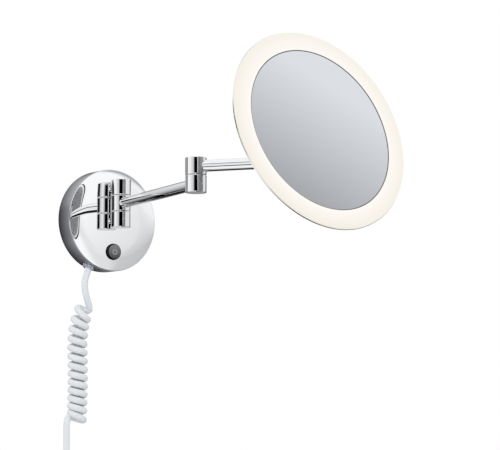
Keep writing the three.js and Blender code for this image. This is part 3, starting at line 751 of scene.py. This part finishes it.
# ---- arms ----


def arm_tube(name, node, body, start, end, height):
    """A drawn tube whose ends lie inside the barrels at both hinges."""
    length = hypot(end.x - start.x, end.y - start.y) / MM
    r = TUBE_RADIUS / MM
    inset = 6.5
    profile = [(r - 1.5, inset), (r, inset), (r, length / 3), (r, 2 * length / 3), (r, length - inset),
               (r - 1.5, length - inset), (r - 1.5, inset)]
    matrix = local_frame(start, heading(start, end), height)
    return stands_for(turned(name, profile, CHROME, matrix, TO_OUT, 128), body, node)


barrel("shoulder_middle", "shoulder_barrel_middle", "arm_1", shoulder, arm_1_height)
barrel("elbow_lower", "elbow_barrel_lower", "arm_1", elbow, arm_1_height)
arm_tube("arm_1_drawn_tube", "arm_1_tube", "arm_1", shoulder, elbow, arm_1_height)
barrel("elbow_upper", "elbow_barrel_upper", "arm_2", elbow, arm_2_height)
barrel("head_lower", "head_barrel_lower", "arm_2", head_swivel, arm_2_height)
arm_tube("arm_2_drawn_tube", "arm_2_tube", "arm_2", elbow, head_swivel, arm_2_height)

# ---- head knuckle ----
EAR_INNER = 5.4
EAR_OUTER = 10.2
EAR_RADIUS = 7.6
TILT_SETBACK = (tilt - head_swivel).to_2d().length / MM


def extruded(mesh, outline, x_from, x_to, bevel):
    """A plate across X with this (y, z) outline in mm and softened edges."""
    left, right = ([(x * MM, y * MM, z * MM) for y, z in outline] for x in (x_from, x_to))
    rim = [edge for face in prism(mesh, left, right) for edge in face.edges]
    bmesh.ops.bevel(mesh, geom=rim, offset=bevel * MM, segments=3, affect="EDGES")


def knuckle():
    """A hinge segment with two ears that reach forward and hold the tilt pin."""
    mesh = bmesh.new()
    spin(mesh, in_mm(barrel_profile()), 128)
    bmesh.ops.recalc_face_normals(mesh, faces=mesh.faces)
    drop = tilt.z / MM - knuckle_height / MM
    ear_end = arc(-TILT_SETBACK, drop, EAR_RADIUS, 90, 270, 24)
    ear = [(-4, drop + EAR_RADIUS), *ear_end, (-4, drop - EAR_RADIUS)]
    for side in (-1, 1):
        ends = sorted((side * EAR_INNER, side * EAR_OUTER))
        extruded(mesh, ear, *ends, 0.5)
    matrix = local_frame(head_swivel, head_heading, knuckle_height)
    return stands_for(finish_mesh("head_fork", mesh, CHROME, matrix), "yoke", "head_knuckle")


def tilt_bolt():
    """A bolt through both ears, with a domed head."""
    face = EAR_OUTER + 1.6
    cap = [(5.4 * cos(radians(a)), face + 1.2 + 2.4 * sin(radians(a))) for a in range(0, 91, 10)]
    profile = [(0, -face), (3, -face), (3, face), (5.1, face), (5.4, face + 0.3), *cap]
    return stands_for(turned("tilt_bolt", profile, CHROME, tilt_frame, TO_ACROSS, 64), "yoke", "tilt_pin")


knuckle()
tilt_bolt()

# ---- mirror head; heights run forward from the tilt axis ----
HEAD_FRONT = 34.0
HOUSING_BACK = 16.0
HEAD_SEGMENTS = 256


def head_piece(name, node, profile, material):
    return stands_for(turned(name, profile, material, head_frame, TO_OUT, HEAD_SEGMENTS), "head", node)


def light_ring():
    """A flat opal ring, bevelled at the back, with a lip behind the mirror's edge."""
    f = HEAD_FRONT
    inner = MIRROR_RADIUS + 0.4
    outer = HEAD_RADIUS - 0.6
    edge = arc(outer - 0.6, f - 0.6, 0.6, 90, 0, 5)
    inner_edge = arc(inner + 0.25, f - 0.25, 0.25, 180, 90, 3)
    profile = [(inner, f - 5.4), *inner_edge, *edge, (outer, f - 1.2), (100, f - 2.2), (93, f - 8.4),
               (92, f - 9), (84, f - 9), (84, f - 5.4), (inner, f - 5.4)]
    return head_piece("lit_ring", "light_ring", profile, ACRYLIC)


def mirror_face():
    f = HEAD_FRONT - 1
    r = MIRROR_RADIUS
    profile = [(0, f - 4), (r - 0.4, f - 4), (r, f - 3.6), (r, f - 0.6), (r - 0.6, f), (r / 2, f), (0, f)]
    return head_piece("mirror_face", "mirror_glass", profile, SILVER)


def mirror_gasket():
    """A thin dark bead in the joint between the mirror and the light ring."""
    f = HEAD_FRONT - 1
    r = MIRROR_RADIUS
    corner = (r - 0.7, f + 0.02)
    profile = [corner, *arc(r - 0.15, f, 0.5, 170, 10, 8), (r + 0.35, f - 0.6), corner]
    bead = turned("mirror_gasket", profile, GASKET, head_frame, TO_OUT, HEAD_SEGMENTS)
    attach(bead, "head")


def reflector():
    """The thin metal dish behind the light ring, seen as a line round its edge."""
    f = HEAD_FRONT
    r = HEAD_RADIUS
    profile = [(r - 0.8, f - 1.6), (100.2, f - 2.6), (94, f - 8.1), (94.6, f - 9.1), (100.6, f - 3.9),
               (r - 0.3, f - 3.2), (r, f - 2.9), (r, f - 1.7), (r - 0.1, f - 1.6), (r - 0.8, f - 1.6)]
    return head_piece("ring_reflector", "reflector_ring", profile, CHROME)


def housing():
    """A shallow pressed shell with a fine groove round the bracket."""
    back = HOUSING_BACK
    edge = arc(74, back + 5, 5, -70, -30, 6)
    groove = [(26, back), (26.4, back + 0.3), (27.4, back + 0.3), (27.8, back)]
    inner = [(89.4, 24.7), (78, back + 3.6), (74, back + 1.6), (0, back + 1.6)]
    profile = [(0, back), *groove, (72, back), *edge, (91, 24.2), (91.4, 24.7), *inner]
    return head_piece("head_shell", "rear_housing", profile, ALUMINIUM)


def bracket():
    """A round plate with a lug that turns on the tilt pin."""
    mesh = bmesh.new()
    plate = [(0, 12), (23.2, 12), *arc(23.2, 12.8, 0.8, -90, 0, 4), (24, 15.6), (0, 15.6)]
    spin(mesh, in_mm(plate), 128, TO_OUT)
    bmesh.ops.recalc_face_normals(mesh, faces=mesh.faces)
    lug = [(-13, 8), *[(8 * cos(radians(a)), 8 * sin(radians(a))) for a in range(90, -91, -8)], (-13, -8)]
    extruded(mesh, lug, -5, 5, 0.5)
    return stands_for(finish_mesh("tilt_lug", mesh, CHROME, head_frame), "head", "tilt_bracket")


def pan_screw(name, node, x, z):
    """A pan-head screw seen from the back, with a small round recess."""
    head = 11.7
    profile = [(0, head - 1.2), (0.7, head - 1.2), (0.9, head - 2.25), (2.4, head - 2.2), (3.2, head - 1.8),
               (3.6, head - 1.1), (3.6, head), (2, head), (2, 23), (0, 23)]
    matrix = head_frame @ Matrix.Translation((x * MM, 0, z * MM))
    return stands_for(turned(name, profile, STEEL, matrix, TO_OUT, 48), "head", node)


light_ring()
mirror_face()
mirror_gasket()
reflector()
housing()
bracket()
SCREW_OFFSET = 13
for row, up in (("upper", 1), ("lower", -1)):
    for column, across in (("left", -1), ("right", 1)):
        place = f"{row}_{column}"
        pan_screw(f"screw_{place}", f"bracket_screw_{place}", SCREW_OFFSET * across, SCREW_OFFSET * up)

# ---- finishes for the CAD pieces that stay ----
KEPT = {
    CASTING: ("wall_plate", "support_block"),
    STEEL: ("cover_grub_screw", "shoulder_pin", "elbow_pin", "head_pin", "tilt_nut"),
    WHITE: ("led_driver", "terminal_block", "arm_1_lead", "arm_2_lead"),
    BOARD: ("switch_board", "led_strip"),
    DARK: ("micro_switch", "button_guide"),
    NYLON: ("shoulder_washer_upper", "shoulder_washer_lower", "elbow_washer", "head_washer",
            "tilt_washer_left", "tilt_washer_right"),
    ALUMINIUM: ("mirror_carrier",),
}
for material, names in KEPT.items():
    for name in names:
        data = frame["nodes"][name].data
        data.materials.clear()
        data.materials.append(material)

# ---- floor, studio surroundings and light ----
FLOOR_RADIUS = 1.6
FLOOR_GAP = 0.02


def floor():
    """A round pale floor a little below the plug."""
    mesh = bmesh.new()
    low = cad_box[0][2] - FLOOR_GAP
    steps = arc(0, 0, FLOOR_RADIUS, 0, 360, 96)[:-1]
    mesh.faces.new([mesh.verts.new((x, y - 0.3, low)) for x, y in steps])
    pale, tree, shader = surface("pale_floor", (0.86, 0.86, 0.86), 0.8)
    gloss = ramp(tree, noise(tree, 4, 3), *NOISE_MIDDLE, 0.75, 0.85)
    tree.links.new(gloss, shader.inputs["Roughness"])
    ground = finish_mesh("floor", mesh, pale)
    ground.visible_glossy = False


# Bearings are in degrees from +Y towards +X, and heights are the upward part of a direction.
INTO_PICTURE = 38
BESIDE_LENS = 208
RIGHT = 108
FAR_LEFT = 327
FRONT_RIGHT = 136
FACE_SIDE = 165
FRONT = 172
FRONT_LEFT = 192
LEFT = 257
PANEL_AIM = (132.5, 33)
PANEL_GRADE = (0.43, 1.015, 0.567)  # the panel lightens in this direction
STUDIO_WHITE = (0.985, 0.99, 1.0, 1)
SOFT_GREY = (0.8, 0.81, 0.82, 1)  # what matt surfaces are lit by


class Surroundings:
    """Where a ray points, as shader values, and the steps that turn them into light and dark."""

    def __init__(self, tree):
        self.tree = tree
        self.direction = add_node(tree, "ShaderNodeTexCoord").outputs["Generated"]
        self.height = add_node(tree, "ShaderNodeSeparateXYZ", {0: self.direction}).outputs[2]
        flat = self.vector("MULTIPLY", self.direction, (1, 1, 0)).outputs[0]
        self.level = add_node(tree, "ShaderNodeVectorMath", {0: flat}, operation="NORMALIZE").outputs[0]

    def vector(self, operation, a, b):
        return add_node(self.tree, "ShaderNodeVectorMath", {0: a, 1: b}, operation=operation)

    def towards(self, source, aim):
        return self.vector("DOT_PRODUCT", source, aim).outputs["Value"]

    def near(self, bearing, elevation):
        """Cosine of the angle from an aim."""
        level = cos(radians(elevation))
        aim = (level * sin(radians(bearing)), level * cos(radians(bearing)), sin(radians(elevation)))
        return self.towards(self.direction, aim)

    def facing(self, bearing):
        """Cosine of the angle from a bearing, at any height."""
        return self.towards(self.level, (sin(radians(bearing)), cos(radians(bearing)), 0))

    def soft(self, value, low, high, to_low=0.0, to_high=1.0):
        return ramp(self.tree, value, low, high, to_low, to_high)

    def linear(self, value, low, high, to_low, to_high):
        return ramp(self.tree, value, low, high, to_low, to_high, smooth=False)

    def times(self, *factors):
        product = factors[0]
        for factor in factors[1:]:
            product = math(self.tree, "MULTIPLY", product, factor)
        return product

    def rest(self, value):
        return math(self.tree, "SUBTRACT", 1.0, value)

    def where(self, window, factor):
        """The factor inside a window, and 1 outside it."""
        return self.rest(self.times(window, self.rest(factor)))


def wall_side(sky):
    """Dark where the camera looks, with a faint glow just below level. It ends above a sloping edge."""
    light = sky.linear(sky.near(INTO_PICTURE, -25), 0.766, 0.31, 0.02, 1.0)
    edge = math(sky.tree, "SUBTRACT", sky.height, sky.times(sky.facing(INTO_PICTURE), 0.35))
    above = sky.soft(edge, 0.04, 0.29)
    glow = sky.times(sky.soft(sky.near(INTO_PICTURE, -10), 0.9877, 0.9962), 0.3)
    light = math(sky.tree, "MAXIMUM", light, glow)
    return math(sky.tree, "ADD", light, sky.times(above, sky.rest(light)))


def lens_strip(sky):
    """A dark upright strip beside the camera, with a grey shade to both sides of it."""
    beside = sky.facing(BESIDE_LENS)
    middle = sky.linear(beside, 0.925, 0.82, 0.0, 0.88)
    sides = sky.linear(beside, 0.82, 0.25, 0.72, 1.15)
    at_lens = sky.times(sky.soft(sky.height, 0.02, 0.08), sky.soft(sky.height, 0.3, 0.2))
    return sky.where(at_lens, sky.times(middle, sides))


def side_shades(sky):
    """A faint grey to the right and a narrow dark edge far left, both near level."""
    near_level = sky.times(sky.soft(sky.height, 0.45, 0.25), sky.soft(sky.height, -0.5, -0.25))
    right = sky.linear(sky.facing(RIGHT), 0.95, 0.75, 0.84, 1.0)
    left = sky.linear(sky.facing(FAR_LEFT), 0.995, 0.96, 0.1, 1.0)
    return sky.times(sky.where(near_level, right), sky.where(near_level, left))


def front_right(sky):
    """The soft shade in the rose's face: lighter upwards and to the left."""
    window = sky.times(sky.soft(sky.facing(FRONT_RIGHT), 0.93, 0.965), sky.soft(sky.height, 0.4, 0.3))
    upwards = sky.linear(sky.height, 0.02, 0.145, 0.74, 1.25)
    leftwards = sky.linear(sky.facing(FACE_SIDE), 0.9426, 0.9588, 0.85, 1.05)
    return sky.where(window, sky.times(upwards, leftwards))


def bar(sky, height, half, outer, dark):
    """A level bar round this height: as low as dark up to half away from it, and gone at outer."""
    away = math(sky.tree, "ABSOLUTE", math(sky.tree, "SUBTRACT", sky.height, height))
    return sky.soft(away, half, outer, dark, 1.0)


def left_bars(sky):
    """Two level bars, below and above the eye, that draw the lines along the outer arm."""
    window = sky.soft(sky.facing(LEFT), 0.85, 0.93)
    below = bar(sky, -0.4, 0.08, 0.18, 0.08)
    above = bar(sky, 0.46, 0.05, 0.11, 0.12)
    return sky.where(window, sky.times(below, above))


def low_front(sky):
    """Darkness that deepens downwards in front of the wall, for the undersides of tubes and barrels."""
    near_front = sky.soft(sky.facing(FRONT_LEFT), 0.93, 0.97)
    narrow = sky.where(near_front, sky.linear(sky.height, -0.45, 0.25, 0.03, 0.95))
    all_front = sky.soft(sky.facing(FRONT), 0.75, 0.9)
    wide = sky.where(all_front, sky.linear(sky.height, -0.45, -0.22, 0.03, 1.0))
    return sky.times(narrow, wide)


def mirror_panel(sky):
    """A graded panel that fills the mirror."""
    grade = sky.linear(sky.towards(sky.direction, PANEL_GRADE), -0.05, 0.04, 0.415, 0.8)
    return sky.where(sky.soft(sky.near(*PANEL_AIM), 0.94, 0.975), grade)


def studio():
    """A white studio with the dark and grey stretches that polished metal needs to read as metal."""
    world = bpy.data.worlds.new("studio")
    bpy.context.scene.world = world
    tree = node_tree(world)
    sky = Surroundings(tree)
    stretches = (wall_side, lens_strip, side_shades, front_right, left_bars, low_front, mirror_panel)
    light = sky.times(*(stretch(sky) for stretch in stretches))
    colour = mix_colour(tree, light, (0.0, 0.0, 0.0, 1), STUDIO_WHITE)
    path = add_node(tree, "ShaderNodeLightPath").outputs
    colour = mix_colour(tree, path["Is Diffuse Ray"], colour, SOFT_GREY)
    shown = mix_colour(tree, path["Is Camera Ray"], colour, (1, 1, 1, 1))
    background = add_node(tree, "ShaderNodeBackground", {0: shown, 1: 1.0})
    output = add_node(tree, "ShaderNodeOutputWorld")
    tree.links.new(background.outputs[0], output.inputs[0])


def soft_light(name, place, target, size, watts):
    data = bpy.data.lights.new(name, "AREA")
    data.shape = "DISK"
    data.size = size
    data.energy = watts
    light = bpy.data.objects.new(name, data)
    light.location = place
    light.rotation_euler = (Vector(target) - Vector(place)).to_track_quat("-Z", "Y").to_euler()
    light.visible_glossy = False
    bpy.context.collection.objects.link(light)


floor()
studio()
soft_light("key", (-1.2, -1.6, 1.4), (0, -0.15, 0), 0.9, 14)
bpy.context.scene.view_settings.view_transform = "Standard"
